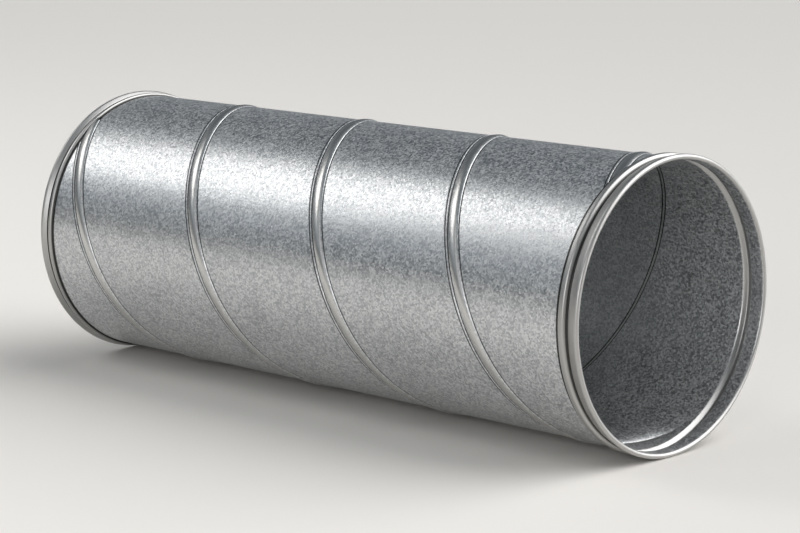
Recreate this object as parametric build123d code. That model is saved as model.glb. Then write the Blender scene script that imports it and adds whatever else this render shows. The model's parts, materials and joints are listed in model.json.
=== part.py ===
from build123d import *
import math
import os

# A section of spiral duct: one strip of galvanised sheet wound into a round tube. The edges of the
# strip are folded into each other along a helical lock seam, and a stiffening rib of the same outer
# shape is pressed into the middle of the strip, so neighbouring ridges lie half a lead apart. Close
# to each mouth a bead is rolled out of the wall, and the wall ends in a lip folded back on its
# outside. The duct lies on a floor: its axis is along X, its near mouth is at +X, and Z is up. The
# origin is on the floor below the middle of the duct. All sizes are in millimetres.
#
# The small rounds of the sheet are worked out by formula and built as a few flats each, because a
# true round of 2 mm turned about a 200 mm duct takes thousands of facets to draw.

# Driving dimensions
bore_diameter = 200.0        # nominal size of the duct, measured inside
sheet = 0.6                  # thickness of the galvanised sheet
length = 550.0               # from mouth to mouth
lead = 264.0                 # how far the strip climbs along the axis in one turn
seam_at_top = -25.0          # where the lock seam crosses the top of the duct, from mid length

# The ridges of the seam and of the rib, measured square to them
ridge_width = 8.4            # the four folded layers of the seam, and the rib
ridge_height = 1.2           # how far they stand out from the wall, two layers of the sheet
slope_width = 0.9            # the slope on each side of the ridge
step_width = 1.5             # the small step along the far side of each ridge
step_height = 0.5
line_width = 0.9             # the thin line between that step and the ridge, a notch
line_floor = 0.12            # how high the bottom of that notch lies
ridge_root = 0.2             # how deep the solid of a ridge reaches into the wall, under half the sheet
seam_mark_width = 2.4        # the line that the lock seam leaves inside the duct
seam_mark_depth = 0.5
hollow_stop = 4.0            # the hollows inside the ridges stop this far from the beads
cut_spare = 0.3              # how far a cut starts clear of the face that it goes into

# The two ends, measured along the axis
near_bead_width = 8.0
near_bead_height = 2.9
near_fold_width = 9.0        # the lip folded back on the outside
far_bead_width = 4.6
far_bead_height = 2.0
far_fold_width = 5.4
fold_radius = 1.65           # where the lip turns back, at the middle of the sheet
fold_clearance = 0.35        # between the edge of the folded lip and the wall
groove_width = 1.8           # between the edge of the folded lip and the bead

# Flats in each round
near_bead_flats = 5
far_bead_flats = 5
fold_flats = 4               # in half a turn

# Worked out from these
inner_radius = bore_diameter / 2
wall_radius = inner_radius + sheet
middle_radius = inner_radius + sheet / 2
half_length = length / 2
climb = math.atan2(lead, 2 * math.pi * wall_radius)


def folded_lip(mouth, inward, width):
    """The middle of the sheet in the folded lip, as points: the edge of the leaf, then the turn.

    The flats of the turn touch its circle from outside, so the lip has its full height and length.
    """
    centre = mouth + inward * (fold_radius + sheet / 2)
    centre_radius = middle_radius + fold_radius
    reach = fold_radius / math.cos(math.pi / fold_flats / 2)
    angles = [math.pi * (i + 0.5) / fold_flats for i in range(fold_flats)]
    corners = [
        (centre - inward * reach * math.sin(angle), centre_radius + reach * math.cos(angle))
        for angle in angles
    ]
    return [(mouth + inward * width, wall_radius + fold_clearance + sheet / 2), *corners]


def bead(start, inward, width, height, flats):
    """The middle of the sheet over a bead, as points going inward: one wave of a cosine."""
    shares = [i / flats for i in range(flats + 1)]
    return [
        (start + inward * width * share, middle_radius + height / 2 * (1 - math.cos(2 * math.pi * share)))
        for share in shares
    ]


def sheet_outline(points):
    """The outline of the sheet round the line of its middle, with mitred corners and square ends.

    At a corner both faces of the sheet lie along the sum of the two unit normals there, divided by
    one plus their dot product.
    """
    ways = [(Vector(end) - Vector(start)).normalized() for start, end in zip(points, points[1:])]
    normals = [Vector(-way.Y, way.X) for way in ways]
    pairs = zip(normals[:1] + normals, normals + normals[-1:])
    mitres = [(before + after) / (1 + before.dot(after)) for before, after in pairs]
    outer = [Vector(point) + mitre * sheet / 2 for point, mitre in zip(points, mitres)]
    inner = [Vector(point) - mitre * sheet / 2 for point, mitre in zip(points, mitres)]
    return Polyline(*outer, *reversed(inner), close=True)


def turned(outline):
    """The solid that a closed outline makes when it is turned about the duct's axis."""
    return revolve(make_face(outline), Axis.X, 360)


def along_helix(section, at_top):
    """A section carried along the helix that crosses the top of the duct at the place given.

    The section's own axes are the way across the ridge, towards the near mouth, and the way out.
    """
    reach = half_length + ridge_width
    path = Helix(lead, 2 * reach, wall_radius)
    across = (0, -math.sin(climb), math.cos(climb))
    ahead = (0, math.cos(climb), math.sin(climb))
    swept = sweep(Plane(path @ 0, x_dir=across, z_dir=ahead) * section, path=path, is_frenet=True)
    top_turn = 360 * (reach + at_top) / lead
    return Rot(0, 90, 0) * Pos(0, 0, -reach) * Rot(0, 0, 180 - top_turn) * swept


def ridge_section():
    """The outside of the seam and of the rib: a small step, a notch, and the flat-topped ridge."""
    near = ridge_width / 2
    step_middle = -near - line_width - step_width / 2
    step_root = step_middle - step_width / 2 * (1 + ridge_root / step_height)
    near_root = near + slope_width * ridge_root / ridge_height
    return make_face(Polyline(
        (step_root, -ridge_root), (step_middle, step_height), (-near - line_width / 2, line_floor),
        (slope_width - near, ridge_height), (near - slope_width, ridge_height),
        (near_root, -ridge_root), close=True,
    ))


def seam_mark_section():
    """The line that the lock seam leaves inside the duct: a shallow groove with sloped sides."""
    deepest, start = seam_mark_depth - sheet, -sheet - cut_spare
    reach = seam_mark_width / 2 * (deepest - start) / seam_mark_depth
    return make_face(Polyline((-reach, start), (0, deepest), (reach, start), close=True))


def rib_hollow_section():
    """The inside of the rib, one sheet thickness within the slopes and the top of its outside."""
    aside = sheet * math.hypot(slope_width, ridge_height) / ridge_height
    top, start = ridge_height - sheet, -sheet - cut_spare

    def half_width(height):
        return ridge_width / 2 - aside - height * slope_width / ridge_height

    return make_face(Polyline(
        (-half_width(start), start), (-half_width(top), top),
        (half_width(top), top), (half_width(start), start), close=True,
    ))


# The tube with its two beads and lips, turned from the line of its sheet
near_lip = folded_lip(half_length, -1, near_fold_width)
near_bead_start = half_length - near_fold_width - groove_width
near_bead = bead(near_bead_start, -1, near_bead_width, near_bead_height, near_bead_flats)
far_lip = folded_lip(-half_length, 1, far_fold_width)
far_bead_start = far_fold_width + groove_width - half_length
far_bead = bead(far_bead_start, 1, far_bead_width, far_bead_height, far_bead_flats)
tube_outline = sheet_outline([*near_lip, *near_bead, *reversed(far_bead), *reversed(far_lip)])
rim_radius = tube_outline.bounding_box().max.Y
tube = turned(tube_outline)

# A ridge dies into the bead at each end: what lies inside the middle of the bead's sheet, or past
# its crest, is cut away
near_side, far_side = near_bead[near_bead_flats // 2 :], far_bead[far_bead_flats // 2 :]
past, above = length, 2 * rim_radius
ridge_cut = turned(Polyline(
    (past, 0), (past, above), (near_side[0][0], above), *near_side, *reversed(far_side),
    (far_side[0][0], above), (-past, above), (-past, 0), close=True,
))

# Inside, the hollows stop before the beads
hollow_length = near_bead[-1][0] - far_bead[-1][0] - 2 * hollow_stop
hollow_middle = (near_bead[-1][0] + far_bead[-1][0]) / 2
hollow_space = Pos(hollow_middle, 0, 0) * Rot(0, 90, 0) * Cylinder(rim_radius, hollow_length)

# The lock seam, and the rib in the middle of the strip, pressed from the sheet's own thickness
rib_at_top = seam_at_top + lead / 2
ridges = [along_helix(ridge_section(), at_top) - ridge_cut for at_top in (seam_at_top, rib_at_top)]
hollows = [
    along_helix(seam_mark_section(), seam_at_top) & hollow_space,
    along_helix(rib_hollow_section(), rib_at_top) & hollow_space,
]
duct = tube + ridges - hollows

# The duct rests on the lips of its two ends
spiral_duct = Pos(0, 0, rim_radius) * duct
print("Solids:", len(spiral_duct.solids()), "valid:", spiral_duct.is_valid)
print("Rim radius:", round(rim_radius, 3), "ridge spacing:", lead / 2)

os.makedirs("parts", exist_ok=True)
export_step(spiral_duct, "parts/spiral_duct.step")
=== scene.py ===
# %% [markdown]
# # A section of galvanised spiral duct
#
# The object is one long strip of zinc-coated steel, wound into a round tube. Its edges are locked
# together along a helix, a rib of the same shape runs between the turns of that lock, and each end
# has a rolled bead and a lip folded back on the outside. This lesson shapes that skin as one closed
# surface from formulas, gives it a zinc finish, and lights it like a product on a pale floor.
#
# The CAD model has the same skin built from flats. On painted wood that would do, but metal
# shows every flat in its highlights, so a smooth skin takes the CAD model's place here.

# %% Load the frame
import json
import math

import bpy
import numpy as np
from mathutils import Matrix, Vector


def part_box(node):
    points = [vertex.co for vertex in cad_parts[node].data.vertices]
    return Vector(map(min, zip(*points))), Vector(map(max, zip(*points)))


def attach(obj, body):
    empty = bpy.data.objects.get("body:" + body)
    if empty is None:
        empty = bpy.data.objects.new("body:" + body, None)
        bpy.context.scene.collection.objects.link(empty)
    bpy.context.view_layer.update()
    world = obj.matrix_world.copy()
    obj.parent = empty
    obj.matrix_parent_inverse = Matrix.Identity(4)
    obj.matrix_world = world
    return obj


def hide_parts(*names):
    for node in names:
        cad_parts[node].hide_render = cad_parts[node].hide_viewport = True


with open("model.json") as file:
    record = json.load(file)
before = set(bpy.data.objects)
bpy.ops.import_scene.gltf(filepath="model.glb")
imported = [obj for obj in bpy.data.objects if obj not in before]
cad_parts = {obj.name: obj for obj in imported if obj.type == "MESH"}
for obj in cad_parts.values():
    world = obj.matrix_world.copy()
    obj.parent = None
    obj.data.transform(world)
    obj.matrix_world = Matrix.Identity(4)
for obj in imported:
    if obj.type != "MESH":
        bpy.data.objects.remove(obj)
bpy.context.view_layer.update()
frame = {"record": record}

# %% [markdown]
# ## The sizes of the sheet
#
# The outer sizes are read from the CAD model, so that the skin stays inside it: half the length,
# the radius of the rims, and the radius of the bore. The widths and heights of the rolled forms are
# the same few numbers from which the CAD model was made. Everything is in metres.

# %% Name the sizes
MM = 0.001
lowest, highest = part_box("spiral_duct")
half_length = (highest.x - lowest.x) / 2
rim_radius = min((highest.z - lowest.z) / 2, highest.y, -lowest.y)
axis_height = (highest.z + lowest.z) / 2
bore_radius = frame["record"]["mounts"][0]["dims"]["r_mm"] * MM

sheet = 0.6 * MM
wall_radius = bore_radius + sheet
middle_radius = bore_radius + sheet / 2

lead = 264 * MM
seam_at_top = -25 * MM
climb = math.atan2(lead, 2 * math.pi * wall_radius)
spacing = lead / 2
print(f"Wall radius {wall_radius:.4f} m, ridges {spacing:.3f} m apart")
print(f"The ridges climb at {math.degrees(climb):.1f} degrees")

# %% [markdown]
# ## The ridges and the hollows behind them
#
# Each ridge is pressed by a pair of rollers while the strip is wound. Seen square to its run it is a
# low crown on a thin ledge, and along its far side lies a small step, where one edge of the strip is
# tucked in. Sharp creases lie at the feet of both, and they and the shade painted into them draw the
# dark lines beside a ridge. The crown is a parabola. The ledge, the step and the hollow are superellipses:
# like a circle, but with a higher power, so that they are flatter on top and steeper at their feet.
#
# Inside the duct, the rib leaves a hollow, while the lock seam is closed and leaves only a fine groove.

# %% The height of a ridge, and the depth of a hollow
ridge_half, ridge_height = 4.2 * MM, 1.2 * MM
ledge_height, ledge_power = 0.2 * MM, 10
crest, crown_power = 0.9 * MM, 2.0
step_half, step_height, step_power = 0.6 * MM, 0.22 * MM, 3
crease_half, crease_depth = 0.6 * MM, 0.3 * MM
rib_hollow_half, rib_hollow_depth, hollow_power = 2.6 * MM, 0.7 * MM, 2.6
seam_mark_half, seam_mark_depth = 1.2 * MM, 0.5 * MM
step_middle = -ridge_half - 2 * crease_half - step_half
far_of_step, far_of_ridge = step_middle - step_half - crease_half, -ridge_half - crease_half
creases = np.array([far_of_step, far_of_ridge, ridge_half + crease_half])
NANOMETRE_PLACES = 9  # decimals of a metre


def loaf(across, half_width, height, power):
    """height times (1 - (distance / half width) ^ power) ^ (1 / power), and 0 further out."""
    inside = np.clip(1 - np.abs(across / half_width) ** power, 0, None)
    return height * inside ** (1 / power)


def in_crease(across):
    """1 in the middle of the nearest crease, falling evenly to 0 at its sides."""
    away = np.abs(across[..., None] - creases).min(-1)
    return np.clip(1 - away / crease_half, 0, 1)


def ridge(across):
    """A thin ledge with a crown on it, less the creases, plus the step.

    The crown is 1 - share ^ power, where share is how far from the crest to the foot on that side a
    point lies. Its crest is off the middle, towards the near mouth, as the rollers leave it.
    """
    foot = np.where(across > crest, ridge_half, -ridge_half)
    share = (across - crest) / (foot - crest)
    crown = np.clip(1 - share ** crown_power, 0, None)
    body = loaf(across, ridge_half, ledge_height, ledge_power) + (ridge_height - ledge_height) * crown
    step = loaf(across - step_middle, step_half, step_height, step_power)
    return body + step - crease_depth * in_crease(across)


def distance_across(x, angle, at_top, period):
    """How far a point lies from the nearest turn of a helix, square to it.

    The helix passes at_top + lead * angle / one turn; what is left over after whole periods, times
    the cosine of the climb, is the distance. It is rounded to a nanometre, so that the first and the
    last column of the grid agree to the last digit on which side of a steep foot they lie.
    """
    along_axis = x - at_top - lead * angle / (2 * math.pi)
    from_turn = np.mod(along_axis + period / 2, period) - period / 2
    return np.round(from_turn * math.cos(climb), NANOMETRE_PLACES)


print(f"The ridge is {2 * ridge_half / MM:.1f} mm wide and {ridge(np.array([crest]))[0] / MM:.2f} mm high")

# %% [markdown]
# ## The rolled ends
#
# A bead is a flat-topped wave of the sheet, with a smooth flank on each side. Past it, the wall
# runs on to the mouth, turns back on itself round a small circle, and comes back as a leaf whose edge
# ends just above the wall. It could be modelled with a bevelled cylinder, but the line of the
# sheet's middle is simpler: one line is drawn, and both faces of the sheet lie half a thickness from it.

# %% Draw the middle line of each end
fold_radius = (rim_radius - sheet / 2 - middle_radius) / 2
fold_clearance = 0.35 * MM
groove_width = 1.8 * MM
near_sizes = {"bead_width": 8.0 * MM, "bead_height": 2.9 * MM, "fold_width": 9.0 * MM}
far_sizes = {"bead_width": 4.6 * MM, "bead_height": 2.0 * MM, "fold_width": 5.4 * MM}
MOUTH_FLANK, WALL_FLANK = 0.3, 0.4
LEAF_POINTS, TURN_POINTS, BEAD_POINTS = 4, 13, 19
PLAIN_STEPS = np.array([0.4, 0.9, 1.6]) * MM


def smooth_step(height, share):
    """height times 3 s^2 - 2 s^3: it leaves 0 and reaches the height without a corner."""
    return height * share * share * (3 - 2 * share)


def end_line(bead_width, bead_height, fold_width):
    """The middle of the sheet, as distance in from the mouth and radius, from the leaf's edge inward.

    The bead rises and falls by a smooth step over a share of its width on each side.
    Past the bead come a few steps of plain wall, so that its shading doesn't spill onto the wall.
    The leaf is a straight line that touches the turn's circle; the angle at which it does is the
    arcsine of the radius over the distance to its centre, plus the angle of the line to that centre.
    """
    centre_in, centre_radius = fold_radius + sheet / 2, middle_radius + fold_radius
    edge_radius = wall_radius + fold_clearance + sheet / 2
    run, drop = fold_width - centre_in, centre_radius - edge_radius
    slope = math.asin(fold_radius / math.hypot(run, drop)) + math.atan2(drop, run)
    angles = np.linspace(slope, -math.pi, TURN_POINTS)
    turn = np.stack([
        centre_in + fold_radius * np.sin(angles),
        centre_radius + fold_radius * np.cos(angles),
    ], 1)
    share = np.linspace(0, 1, LEAF_POINTS, endpoint=False)[:, None]
    leaf = (1 - share) * np.array([fold_width, edge_radius]) + share * turn[0]
    wave = np.linspace(0, 1, BEAD_POINTS)
    rise = np.clip(np.minimum(wave / MOUTH_FLANK, (1 - wave) / WALL_FLANK), 0, 1)
    bead_start = fold_width + groove_width
    bead = np.stack([
        bead_start + bead_width * wave,
        middle_radius + smooth_step(bead_height, rise),
    ], 1)
    plain = np.stack([bead[-1, 0] + PLAIN_STEPS, np.full(len(PLAIN_STEPS), middle_radius)], 1)
    return np.concatenate([leaf, turn, bead, plain])


near_line, far_line = end_line(**near_sizes), end_line(**far_sizes)
wall_ends = np.array([far_line[-1, 0] - half_length, half_length - near_line[-1, 0]])
print(f"Each end is a line of {len(near_line)} points")
print(f"The plain wall runs from {wall_ends[0]:.4f} to {wall_ends[1]:.4f} m")

# %% [markdown]
# ## One closed grid
#
# The skin is a grid with two parameters. One is the angle round the duct, and the other runs once
# round the section of the sheet: along the outside of the wall, round one end, back along the bore,
# and round the other end. On the plain wall the grid's lines follow the helix, so that they always
# run along the ridges and never cut across them, and they are closest where a ridge curves most.
# Where a helical line runs out at an end it is clipped to the end of the plain wall. Points that fall
# together are merged afterwards, and the faces that have lost a side become triangles or vanish.

# %% The helical lines of the wall
COLUMNS = 264
RIDGE_LINES, STEP_LINES, HOLLOW_LINES, PLAIN_LINES = 15, 6, 13, 4
angle = np.linspace(0, 2 * math.pi, COLUMNS + 1)


def crowded(middle, half_width, lines):
    """Places from side to side of one form, crowded towards its two feet like a cosine."""
    return middle - half_width * np.cos(np.linspace(0, math.pi, lines))


def with_plain_lines(places):
    """The given places, and a few evenly spaced ones over the plain strip up to the next ridge."""
    next_ridge = spacing * math.cos(climb) + places[0]
    plain = np.linspace(places[-1], next_ridge, PLAIN_LINES + 2)[1:-1]
    return np.concatenate([places, plain]) / math.cos(climb)


outside_places = with_plain_lines(np.concatenate([
    [creases[0] - 2 * crease_half, creases[0] - crease_half, creases[0]],
    crowded(step_middle, step_half, STEP_LINES),
    [creases[1]],
    crowded(0, ridge_half, RIDGE_LINES),
    [creases[2], creases[2] + crease_half, creases[2] + 2 * crease_half],
]))
inside_places = with_plain_lines(crowded(0, rib_hollow_half, HOLLOW_LINES))


def helical_rows(places):
    """x of every helical line at every angle, from end to end of the wall, clipped to its two ends."""
    first = math.floor((wall_ends[0] - lead - seam_at_top) / spacing) - 1
    last = math.ceil((wall_ends[1] - seam_at_top) / spacing) + 1
    starts = seam_at_top + (np.arange(first, last)[:, None] * spacing + places).ravel()
    starts = starts[(starts > wall_ends[0] - lead) & (starts < wall_ends[1])]
    return np.clip(starts[:, None] + lead * angle / (2 * math.pi), *wall_ends)


print(len(outside_places), "lines to each ridge outside and", len(inside_places), "inside")

# %% [markdown]
# ## From the line of the sheet to its two faces
#
# A unit normal at each point of the middle line carries the sheet's two faces, and a half circle
# rounds the leaf's edge. Along the line, the distance that the sheet has been unrolled is kept too:
# the finish needs it, because the rolling marks were on the strip before it was wound.

# %% The two faces of each end
EDGE_POINTS = 5


def end_faces(line, side):
    """x, radius, unrolled place and base radius of the rows of one end, from its bead to its bore.

    The outer face is the line plus half the sheet times the normal, the bore's face is the line
    less it, and the edge is a half circle from the one to the other. The last normal points straight
    out, as the plain wall's does. The base is the radius that the plain sheet has on that face.
    """
    along = np.gradient(line, axis=0)
    along /= np.linalg.norm(along, axis=1, keepdims=True)
    normal = np.stack([-along[:, 1], along[:, 0]], 1)
    normal[-1] = 0, 1
    half_turn = np.linspace(0, math.pi, EDGE_POINTS + 2)[1:-1, None]
    edge = line[0] + sheet / 2 * (np.cos(half_turn) * normal[0] - np.sin(half_turn) * along[0])
    faces = np.concatenate([(line + sheet / 2 * normal)[::-1], edge, line - sheet / 2 * normal])
    steps = np.linalg.norm(np.diff(line, axis=0), axis=1)
    from_wall = np.concatenate([[0], np.cumsum(steps[::-1])])
    unrolled = np.concatenate([from_wall, np.full(EDGE_POINTS, from_wall[-1]), from_wall[::-1]])
    foot = wall_ends[1] if side > 0 else wall_ends[0]
    base = np.repeat([wall_radius, bore_radius], [len(line) + EDGE_POINTS, len(line)])
    return side * (half_length - faces[:, 0]), faces[:, 1], foot + side * unrolled, base


near_faces, far_faces = end_faces(near_line, 1), end_faces(far_line, -1)
print(len(near_faces[0]), "rows round the section of each end")

# %% [markdown]
# ## Where the ridges meet the beads, and where the hollows stop
#
# A ridge runs into the bead and dies there. Taking the larger of the two heights does it, as long
# as the ridge ends at the bead's crest and doesn't come out on its other side. Inside, each hollow
# fades out over the last 14 mm before the bead.

# %% Assemble the rows of the grid
HOLLOW_FADE = 14 * MM


def outside_radius(x, radius, at_wall):
    """The larger of the given radius and the wall's radius plus the ridge, wherever at_wall is true.

    The creases are cut below the wall, and fade out where the bead's flank begins to rise.
    """
    height = ridge(distance_across(x, angle, seam_at_top, spacing))
    at_foot = np.clip(1 - (radius - wall_radius) / crease_depth, 0, 1)
    with_ridge = np.maximum(radius, wall_radius + height) + np.minimum(height, 0) * at_foot
    return np.where(at_wall, np.where(height < 0, radius + height * at_foot, with_ridge), radius)


def bore_depth(x):
    """The rib's hollow plus the seam's mark, faded out towards both ends by a smooth step.

    The mark is one wave of a cosine.
    """
    from_rib = distance_across(x, angle, seam_at_top + spacing, lead)
    rib = loaf(from_rib, rib_hollow_half, rib_hollow_depth, hollow_power)
    share = np.clip(distance_across(x, angle, seam_at_top, lead) / seam_mark_half, -1, 1)
    mark = seam_mark_depth * (1 + np.cos(math.pi * share)) / 2
    room = np.clip(np.minimum(x - wall_ends[0], wall_ends[1] - x) / HOLLOW_FADE, 0, 1)
    return smooth_step(rib + mark, room)


def ring_rows(faces):
    """The rows of one end as full circles, with the ridges run into the wall's side of the bead."""
    x, radius, unrolled, base = (np.repeat(values[:, None], COLUMNS + 1, 1) for values in faces)
    wall_side = np.arange(len(x))[:, None] <= len(PLAIN_STEPS) + BEAD_POINTS // 2
    return x, outside_radius(x, radius, wall_side), unrolled, base


def helix_rows(x, radius, base):
    """One face of the plain wall, whose unrolled place is x itself."""
    return x, radius, x, np.full(x.shape, base)


outside_x = helical_rows(outside_places)
bore_x = helical_rows(inside_places)[::-1]
wall_rows = helix_rows(outside_x, outside_radius(outside_x, wall_radius, True), wall_radius)
bore_rows = helix_rows(bore_x, bore_radius + bore_depth(bore_x), bore_radius)
near_rows = ring_rows(near_faces)
far_rows = [rows[::-1] for rows in ring_rows(far_faces)]
loop = [wall_rows, near_rows, bore_rows, far_rows]
row_x, row_radius, row_unrolled, row_base = (np.concatenate(parts) for parts in zip(*loop))
print("Rows round the section:", len(row_x), "- columns round the duct:", COLUMNS)

# %% [markdown]
# ## What the finish needs to know
#
# Four things are stored with the mesh for the materials. The UV map is the flat strip itself, in
# metres: across it and along it, so that rolling marks run round the duct with the strip and
# change only at the lock seam. Two attributes say where rollers pressed the sheet: one on the
# ridges and in the hollows behind them, the other on the beads and lips, whose zinc is a darker grey.
# The last attribute marks the creases, the corners beside the beads and, inside, both edges of the
# seam's groove, where shade is painted into the colour as a near-black. All three run from 0 to 1. The
# first follows the height of the ridge, and the others fade within about a millimetre.

# %% The strip's own coordinates and the pressed places
PRESSED_HEIGHT = 0.3 * MM
CORNER_HEIGHT = 1.2 * MM
MARK_EDGE = 0.6 * MM


def strip_coordinates(x, unrolled, turn_angle):
    """The unrolled wall turned by the climb, so that the first axis is across the strip."""
    round_wall = wall_radius * turn_angle
    across = unrolled * math.cos(climb) - round_wall * math.sin(climb)
    along = unrolled * math.sin(climb) + round_wall * math.cos(climb)
    return np.stack([across, along], -1)


outside = row_base == wall_radius
from_ridge = distance_across(row_x, angle, seam_at_top, spacing)
from_seam = distance_across(row_x, angle, seam_at_top, lead)
past_wall = (row_unrolled > wall_ends[1]) | (row_unrolled < wall_ends[0])
row_end = np.clip((row_radius - row_base) / PRESSED_HEIGHT, 0, 1) * past_wall
row_ridge = np.where(outside, ridge(from_ridge) / ridge_height, bore_depth(row_x) / rib_hollow_depth)
row_ridge = np.clip(row_ridge, 0, 1) * (1 - row_end)
# The crease mask is painted shade: it darkens the colour in the creases, in the low corners of the ends
# and at the edges of the seam's groove
low_between = np.clip(1 - (row_radius - wall_radius) / CORNER_HEIGHT, 0, 1) * past_wall
mark_edges = np.clip(1 - np.abs(np.abs(from_seam) - seam_mark_half) / MARK_EDGE, 0, 1)
row_painted_shade = np.where(outside, in_crease(from_ridge), mark_edges) * (1 - row_end)
row_painted_shade = np.maximum(row_painted_shade, np.where(outside, low_between, 0))
print(f"The strip is {lead * math.cos(climb):.3f} m wide between its seams")

# %% [markdown]
# ## Build the mesh
#
# All the rows and columns are worked out as whole arrays. Each square of the grid becomes a face
# with as many corners as are left once points that round to the same micrometre have been merged,
# four or three, and with fewer it is left out.

# %% From the grid to one closed mesh
MERGE = 1e-6  # metres


def close_grid(x, radius, unrolled):
    """Vertices, faces and their strip coordinates: squares with four corners, then with three.

    A point of the grid is x along the axis, and minus the radius times the sine and plus the
    radius times the cosine of the angle across it. A face's strip coordinates all count from the
    same turn of the strip, the one in which the face's middle lies.
    """
    points = np.stack([x, -radius * np.sin(angle), axis_height + radius * np.cos(angle)], -1)
    keys = np.round(points.reshape(-1, 3) / MERGE).astype(np.int64)
    _, first, ids = np.unique(keys, axis=0, return_index=True, return_inverse=True)
    ids = ids.reshape(x.shape)

    def corners(grid):
        """The four corners of every square: this row and the next one, this column and the next."""
        following = np.roll(grid, -1, axis=0)
        return np.stack([grid[:, :-1], grid[:, 1:], following[:, 1:], following[:, :-1]], -1)

    square = corners(ids).reshape(-1, 4)
    corner_x = corners(x).reshape(-1, 4)
    corner_unrolled = corners(unrolled).reshape(-1, 4)
    corner_angle = corners(np.broadcast_to(angle, x.shape)).reshape(-1, 4)
    from_first_turn = corner_x - seam_at_top - lead * corner_angle / (2 * math.pi)
    turns = np.floor(from_first_turn.mean(1) / lead)
    strip = strip_coordinates(corner_x, corner_unrolled, corner_angle + 2 * math.pi * turns[:, None])
    kept = square != np.roll(square, 1, axis=1)
    faces, coordinates = [], []
    for count in (4, 3):
        chosen = kept.sum(1) == count
        faces += square[chosen][kept[chosen]].reshape(-1, count).tolist()
        coordinates.append(strip[chosen][kept[chosen]].reshape(-1, 2))
    return points.reshape(-1, 3)[first], faces, np.concatenate(coordinates), ids


vertices, faces, strip_uv, vertex_ids = close_grid(row_x, row_radius, row_unrolled)
mesh = bpy.data.meshes.new("duct_skin")
mesh.from_pydata(vertices.tolist(), [], faces)
mesh.shade_smooth()
mesh.uv_layers.new(name="strip").data.foreach_set("uv", strip_uv.astype(np.float32).ravel())
# The crease attribute carries the painted shade of creases and corners
for name, grid in (("ridge", row_ridge), ("rolled_end", row_end), ("crease", row_painted_shade)):
    values = np.zeros(len(vertices), np.float32)
    values[vertex_ids.ravel()] = grid.ravel()
    mesh.attributes.new(name, "FLOAT", "POINT").data.foreach_set("value", values)

duct = bpy.data.objects.new("duct_skin", mesh)
bpy.context.scene.collection.objects.link(duct)
triangles = sum(len(face) - 2 for face in faces)
print(f"{len(vertices)} vertices, {triangles} triangles, closed: {len(mesh.loops) == 2 * len(mesh.edges)}")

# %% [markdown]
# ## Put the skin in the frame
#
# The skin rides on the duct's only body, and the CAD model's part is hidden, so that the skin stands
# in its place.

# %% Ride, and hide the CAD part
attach(duct, "root")
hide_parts("spiral_duct")

# %% [markdown]
# ## Helpers for shader nodes
#
# A material is a tree of nodes. The first helper adds a node, sets its options, and either writes a
# value into each named input or links the output that is given for it. The others are short names
# for the nodes that a finish needs again and again: mixes, sums, noise and colour ramps.

# %% Add a node with its inputs
def add_node(tree, kind, inputs=(), **options):
    """A new node of this kind; inputs is a dictionary from input names or numbers to values or outputs."""
    node = tree.nodes.new(kind)
    for name, value in options.items():
        setattr(node, name, value)
    for name, value in dict(inputs).items():
        if isinstance(value, bpy.types.NodeSocket):
            tree.links.new(value, node.inputs[name])
        else:
            node.inputs[name].default_value = value
    return node


def mix_numbers(tree, share, low, high):
    """low where share is 0 and high where it is 1, for numbers or outputs."""
    return add_node(tree, "ShaderNodeMix", {0: share, 2: low, 3: high}, data_type="FLOAT").outputs[0]


def mix_colours(tree, share, low, high):
    """The same for colours, which a Mix node takes at its inputs 6 and 7 and gives at its output 2."""
    return add_node(tree, "ShaderNodeMix", {0: share, 6: low, 7: high}, data_type="RGBA").outputs[2]


def calculate(tree, operation, first, second):
    """One sum of two numbers or outputs, such as MULTIPLY or MAXIMUM."""
    return add_node(tree, "ShaderNodeMath", {0: first, 1: second}, operation=operation).outputs[0]


def calculate_vector(tree, operation, *values):
    """One sum of vectors or colours, such as SUBTRACT, or MULTIPLY_ADD for first * second + third."""
    return add_node(tree, "ShaderNodeVectorMath", dict(enumerate(values)), operation=operation).outputs[0]


def noise(tree, coordinates, per_metre, detail, roughness=0.5):
    """Soft random spots, about this many a metre, with finer spots in them where detail is higher."""
    inputs = {"Vector": coordinates, "Scale": per_metre, "Detail": detail, "Roughness": roughness}
    return add_node(tree, "ShaderNodeTexNoise", inputs)


def drawn_out_marks(tree, coordinates, per_metre, detail):
    """Noise with its own number of spots a metre on each axis, so that they are drawn out into lines."""
    stretched = add_node(tree, "ShaderNodeMapping", {"Vector": coordinates, "Scale": per_metre})
    return noise(tree, stretched.outputs[0], 1, detail).outputs["Fac"]


def colour_ramp(tree, share, stops):
    """The colour at each share, between stops that are pairs of a position and a colour."""
    node = add_node(tree, "ShaderNodeValToRGB", {"Fac": share})
    elements = node.color_ramp.elements
    while len(elements) < len(stops):
        elements.new(0.5)
    for element, (position, colour) in zip(elements, stops):
        element.position = position
        element.color = colour
    return node.outputs["Color"]


print("Node helpers are ready")

# %% [markdown]
# ## The zinc finish
#
# Hot zinc freezes on the sheet as a skin of small crystals, the spangle. Each crystal lies at its
# own slight angle and is a little lighter or darker than its neighbours, which gives the mottled grey.
# A Voronoi texture gives each crystal a random colour, and noise bends the outlines so that
# they look feathered. That random colour tilts the normal, changes the roughness and shifts the
# grey. Pale crystals carry a thin film of oxide, which scatters some light like paint, so they stand
# out where the metal round them reflects something dark. On top lie slow clouds and fine marks along
# the strip from the rolling mill. Where the rollers of the ridges and of the ends pressed, the pattern
# is rubbed out, and the ends have fine rings from the rolls that formed them.

# %% Coordinates and crystals
zinc = bpy.data.materials.new("galvanised_sheet")
zinc.use_nodes = True
tree = zinc.node_tree
tree.nodes.clear()

CRYSTALS_PER_METRE, FEATHERS_PER_METRE = 800, 2000
FEATHER_REACH = 0.5 * MM
FINE_DETAIL = 2
MIDDLE_GREY = (0.5, 0.5, 0.5)

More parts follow.
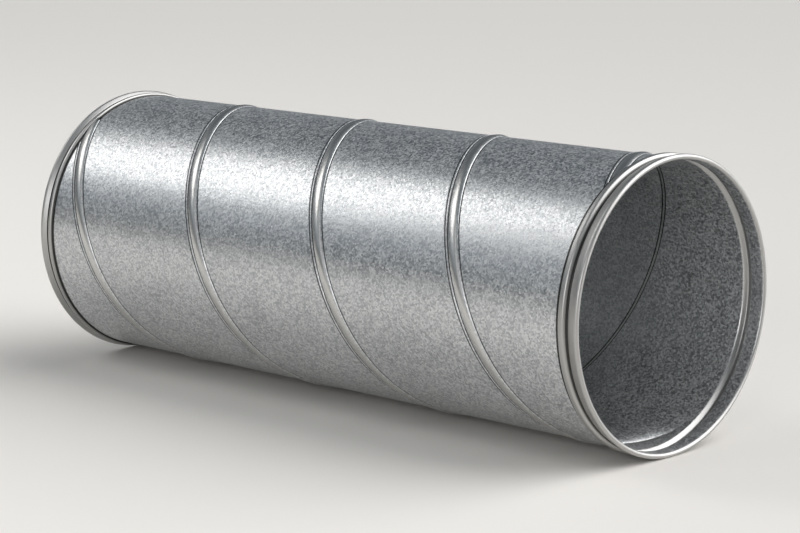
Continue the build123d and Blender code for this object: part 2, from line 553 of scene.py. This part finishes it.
place = add_node(tree, "ShaderNodeTexCoord").outputs["Object"]
feather = noise(tree, place, FEATHERS_PER_METRE, FINE_DETAIL).outputs["Color"]
centred = calculate_vector(tree, "SUBTRACT", feather, MIDDLE_GREY)
bent = calculate_vector(tree, "MULTIPLY_ADD", centred, (FEATHER_REACH,) * 3, place)
crystals = add_node(tree, "ShaderNodeTexVoronoi", {"Vector": bent, "Scale": CRYSTALS_PER_METRE})
crystal_colour = crystals.outputs["Color"]
crystal = add_node(tree, "ShaderNodeSeparateColor", {"Color": crystal_colour})
print("Crystals about", round(1 / CRYSTALS_PER_METRE / MM, 1), "mm wide")

# %% Clouds, rolling marks and rings
CLOUDS_PER_METRE, CLOUD_DETAIL, CLOUD_ROUGHNESS = 70, 4, 0.6
GRAIN_PER_METRE = 1500
ROLLING_PER_METRE, ROLLING_DETAIL = (1500, 18, 1), 3
RINGS_PER_METRE = (2600, 12, 12)
PAINTED_SHADE_GAIN = 2.2

clouds = noise(tree, place, CLOUDS_PER_METRE, CLOUD_DETAIL, CLOUD_ROUGHNESS).outputs["Fac"]
grain = noise(tree, place, GRAIN_PER_METRE, FINE_DETAIL).outputs["Fac"]
strip = add_node(tree, "ShaderNodeUVMap", uv_map="strip").outputs["UV"]
rolling = drawn_out_marks(tree, strip, ROLLING_PER_METRE, ROLLING_DETAIL)
rings = drawn_out_marks(tree, place, RINGS_PER_METRE, FINE_DETAIL)
on_ridge, on_end, crease_shade_mask = (
    add_node(tree, "ShaderNodeAttribute", attribute_name=name).outputs["Fac"]
    for name in ("ridge", "rolled_end", "crease")
)
# Painted shade: the crease attribute, strengthened, sets how far the colour goes to near-black in creases
# and corners
painted_shade = calculate(tree, "MULTIPLY", crease_shade_mask, PAINTED_SHADE_GAIN)
pressed = calculate(tree, "MAXIMUM", on_ridge, on_end)
print("Marks are ready")

# %% The colour of the zinc
GRAIN_SHARE, CLOUD_SHARE = 0.3, 0.25
DARK_UNTIL, PALE_FROM = 0.25, 0.75
DARK_CRYSTAL, PALE_CRYSTAL = (0.42, 0.435, 0.45, 1), (0.75, 0.76, 0.765, 1)
RIDGE_ZINC, END_ZINC = (0.62, 0.615, 0.60, 1), (0.47, 0.465, 0.455, 1)
# A near-black painted into the creases and corners as shade
PAINTED_SHADE_COLOUR = (0.05, 0.05, 0.048, 1)

crystal_light = mix_numbers(tree, GRAIN_SHARE, crystal.outputs[0], grain)
mottled = mix_numbers(tree, CLOUD_SHARE, crystal_light, clouds)
greys = colour_ramp(tree, mottled, [(DARK_UNTIL, DARK_CRYSTAL), (PALE_FROM, PALE_CRYSTAL)])
rolled = mix_colours(tree, on_end, RIDGE_ZINC, END_ZINC)
polished = mix_colours(tree, pressed, greys, rolled)
# Painted shade: the colour goes towards near-black in the creases and corners
colour = mix_colours(tree, painted_shade, polished, PAINTED_SHADE_COLOUR)
print("Greys from", DARK_CRYSTAL[:3], "to", PALE_CRYSTAL[:3])

# %% Oxide, roughness, tilt and fine relief
OXIDE_LIMIT = 0.65
SMOOTH_CRYSTAL, ROUGH_CRYSTAL = 0.25, 0.48
ROLLING_ROUGHNESS, ROLLING_SHARE = 0.38, 0.5
RIDGE_ROUGHNESS, END_ROUGHNESS = 0.31, 0.42
TILT, PRESSED_TILT = 0.05, 0.02
RELIEF_STRENGTH, RELIEF_HEIGHT = 0.5, 0.04 * MM

bare = add_node(tree, "ShaderNodeMapRange", {
    "Value": mottled, "From Min": DARK_UNTIL, "From Max": PALE_FROM, "To Min": 1.0, "To Max": OXIDE_LIMIT,
}).outputs["Result"]
metallic = mix_numbers(tree, pressed, bare, 1.0)

sheet_roughness = mix_numbers(tree, crystal.outputs[1], SMOOTH_CRYSTAL, ROUGH_CRYSTAL)
mark_share = calculate(tree, "MULTIPLY", rolling, ROLLING_SHARE)
marked_roughness = mix_numbers(tree, mark_share, sheet_roughness, ROLLING_ROUGHNESS)
pressed_roughness = mix_numbers(tree, on_end, RIDGE_ROUGHNESS, END_ROUGHNESS)
roughness = mix_numbers(tree, pressed, marked_roughness, pressed_roughness)

surface = add_node(tree, "ShaderNodeNewGeometry").outputs["Normal"]
lean = calculate_vector(tree, "SUBTRACT", crystal_colour, MIDDLE_GREY)
tilt = mix_numbers(tree, pressed, TILT, PRESSED_TILT)
tilted = calculate_vector(tree, "MULTIPLY_ADD", lean, tilt, surface)
unit_normal = calculate_vector(tree, "NORMALIZE", tilted)

relief = mix_numbers(tree, on_end, rolling, rings)
bump = add_node(tree, "ShaderNodeBump", {
    "Height": relief, "Normal": unit_normal, "Strength": RELIEF_STRENGTH, "Distance": RELIEF_HEIGHT,
})
metal = add_node(tree, "ShaderNodeBsdfPrincipled", {
    "Base Color": colour, "Metallic": metallic, "Roughness": roughness, "Normal": bump.outputs[0],
})
add_node(tree, "ShaderNodeOutputMaterial", {"Surface": metal.outputs[0]})
mesh.materials.append(zinc)
print("The zinc has", len(tree.nodes), "nodes")

# %% [markdown]
# ## The floor
#
# A plain pale floor, large enough to fill the view. The metal's lower half reflects it and takes
# its colour from it, so it is a warm light grey and not pure white.

# %% Lay the floor
FLOOR_HALF = 12.0
FLOOR_COLOUR, FLOOR_ROUGHNESS = (0.82, 0.79, 0.75, 1), 0.9
CORNER_SIGNS = ((-1, -1), (1, -1), (1, 1), (-1, 1))

floor_mesh = bpy.data.meshes.new("floor")
floor_corners = [(x * FLOOR_HALF, y * FLOOR_HALF, 0) for x, y in CORNER_SIGNS]
floor_mesh.from_pydata(floor_corners, [], [(0, 1, 2, 3)])
floor = bpy.data.objects.new("floor", floor_mesh)
bpy.context.scene.collection.objects.link(floor)
floor_finish = bpy.data.materials.new("floor_paint")
floor_finish.use_nodes = True
paint = floor_finish.node_tree.nodes["Principled BSDF"]
paint.inputs["Base Color"].default_value = FLOOR_COLOUR
paint.inputs["Roughness"].default_value = FLOOR_ROUGHNESS
floor_mesh.materials.append(floor_finish)
print("Floor", 2 * FLOOR_HALF, "m square")

# %% [markdown]
# ## Soft studio light
#
# A metal tube shows little but what stands round it, drawn out into bands along its length. Each
# large lamp makes one band, and the dark air between the lamps makes the grey ones. The lamps are
# softboxes, placed by the direction in which they stand: so many degrees counter-clockwise from the
# axis on the near mouth's side, and so many above the floor.

# %% Hang the softboxes
LAMP_DISTANCE = 2.6
WHITE, WARM, COOL = (1, 1, 1), (1.0, 0.985, 0.965), (0.9, 1.0, 1.12)
middle = np.array([0.0, 0.0, axis_height])


def towards(azimuth, elevation):
    """The unit vector of a direction: cos e cos a, cos e sin a, sin e, from angles in degrees."""
    turn, rise = math.radians(azimuth), math.radians(elevation)
    return np.array([math.cos(rise) * math.cos(turn), math.cos(rise) * math.sin(turn), math.sin(rise)])


def looking_back(azimuth, elevation):
    """The turn of a lamp or a camera that stands in a direction and looks back along it."""
    return math.radians(90 - elevation), 0, math.radians(azimuth + 90)


def softbox(name, azimuth, elevation, size, watts, tint):
    """A rectangular area lamp in the given direction from the duct's middle, turned to face it."""
    lamp = bpy.data.lights.new(name, "AREA")
    lamp.shape = "RECTANGLE"
    lamp.size, lamp.size_y = size
    lamp.energy = watts
    lamp.color = tint
    holder = bpy.data.objects.new(name, lamp)
    holder.location = middle + LAMP_DISTANCE * towards(azimuth, elevation)
    holder.rotation_euler = looking_back(azimuth, elevation)
    holder.visible_camera = False
    bpy.context.scene.collection.objects.link(holder)


# Azimuth and elevation in degrees, width and height in metres, watts and tint
softbox("key", 205.5, 40, (1.15, 1.3), 13.5, WARM)
softbox("fill", 224, 23, (1.4, 1.0), 1.1, COOL)
softbox("strip", -99, 32, (0.7, 3.0), 5, WHITE)
softbox("front", -60, 16, (0.8, 0.7), 13, WHITE)

# %% [markdown]
# ## The air and the diffuser
#
# Where no lamp stands, the metal mirrors the air. It is dim and slightly blue, and palest some way
# above the floor and overhead, as in a studio whose walls and ceiling catch a little of the light.
# Behind the duct, towards the near mouth, hangs a wide round diffuser: it lights the floor, whose
# reflection is the warm band low on the wall. It could be one more lamp, but as a soft patch of the
# world it has no edge that the ridges would mirror as a hard line.

# %% Shade the air and hang the diffuser in it
HEIGHTS_AND_LIGHT = ((0.0, 0.05), (0.12, 0.08), (0.3, 0.17), (0.5, 0.08), (1.0, 0.2))
SKY_TINT = np.array([0.86, 1.0, 1.12])
DIFFUSER_AZIMUTH, DIFFUSER_ELEVATION = 48, 36
DIFFUSER_OUTER, DIFFUSER_INNER = 44, 28
DIFFUSER_COLOUR = (3.3, 3.3, 3.3, 1)

world = bpy.data.worlds.new("studio")
bpy.context.scene.world = world
world.use_nodes = True
air = world.node_tree
direction = add_node(air, "ShaderNodeTexCoord").outputs["Generated"]
height = add_node(air, "ShaderNodeSeparateXYZ", {0: direction}).outputs["Z"]
shades = colour_ramp(air, height, [(stop, (*light * SKY_TINT, 1)) for stop, light in HEIGHTS_AND_LIGHT])

# The dot product of two unit vectors is the cosine of the angle between them
facing = add_node(
    air, "ShaderNodeVectorMath", {0: direction, 1: tuple(towards(DIFFUSER_AZIMUTH, DIFFUSER_ELEVATION))},
    operation="DOT_PRODUCT",
).outputs["Value"]
outer_edge, inner_edge = math.cos(math.radians(DIFFUSER_OUTER)), math.cos(math.radians(DIFFUSER_INNER))
glow = add_node(
    air, "ShaderNodeMapRange", {"Value": facing, "From Min": outer_edge, "From Max": inner_edge},
    interpolation_type="SMOOTHSTEP",
).outputs["Result"]
sky = mix_colours(air, glow, shades, DIFFUSER_COLOUR)
air.links.new(sky, air.nodes["Background"].inputs["Color"])
print("The diffuser is", 2 * DIFFUSER_INNER, "degrees wide, with a soft edge")

# %% [markdown]
# ## The camera
#
# The photograph was taken with a long lens from a little above the duct, 47 degrees off its axis on
# the near mouth's side. The angle was worked out from the outlines of both rims and both edges of
# the duct.

# %% Set the camera
PHOTO_WIDTH = 800
FOCAL_PIXELS = 2713
SENSOR_WIDTH = 36.0
AZIMUTH, ELEVATION, DISTANCE = -46.17, 10.1, 2.017
AIM_RIGHT, AIM_UP = 12.4 * MM, -5.8 * MM  # from the duct's middle to the middle of the picture

back = towards(AZIMUTH, ELEVATION)
right = towards(AZIMUTH + 90, 0)
aim = middle + AIM_RIGHT * right + AIM_UP * np.cross(back, right)
lens = bpy.data.cameras.new("camera")
lens.sensor_width = SENSOR_WIDTH
lens.lens = SENSOR_WIDTH * FOCAL_PIXELS / PHOTO_WIDTH
camera = bpy.data.objects.new("camera", lens)
camera.location = aim + DISTANCE * back
camera.rotation_euler = looking_back(AZIMUTH, ELEVATION)
bpy.context.scene.collection.objects.link(camera)
bpy.context.scene.camera = camera
print(f"Lens {lens.lens:.1f} mm at", [round(value, 3) for value in camera.location])

# %% Set the colour transform
bpy.context.scene.view_settings.view_transform = "Standard"
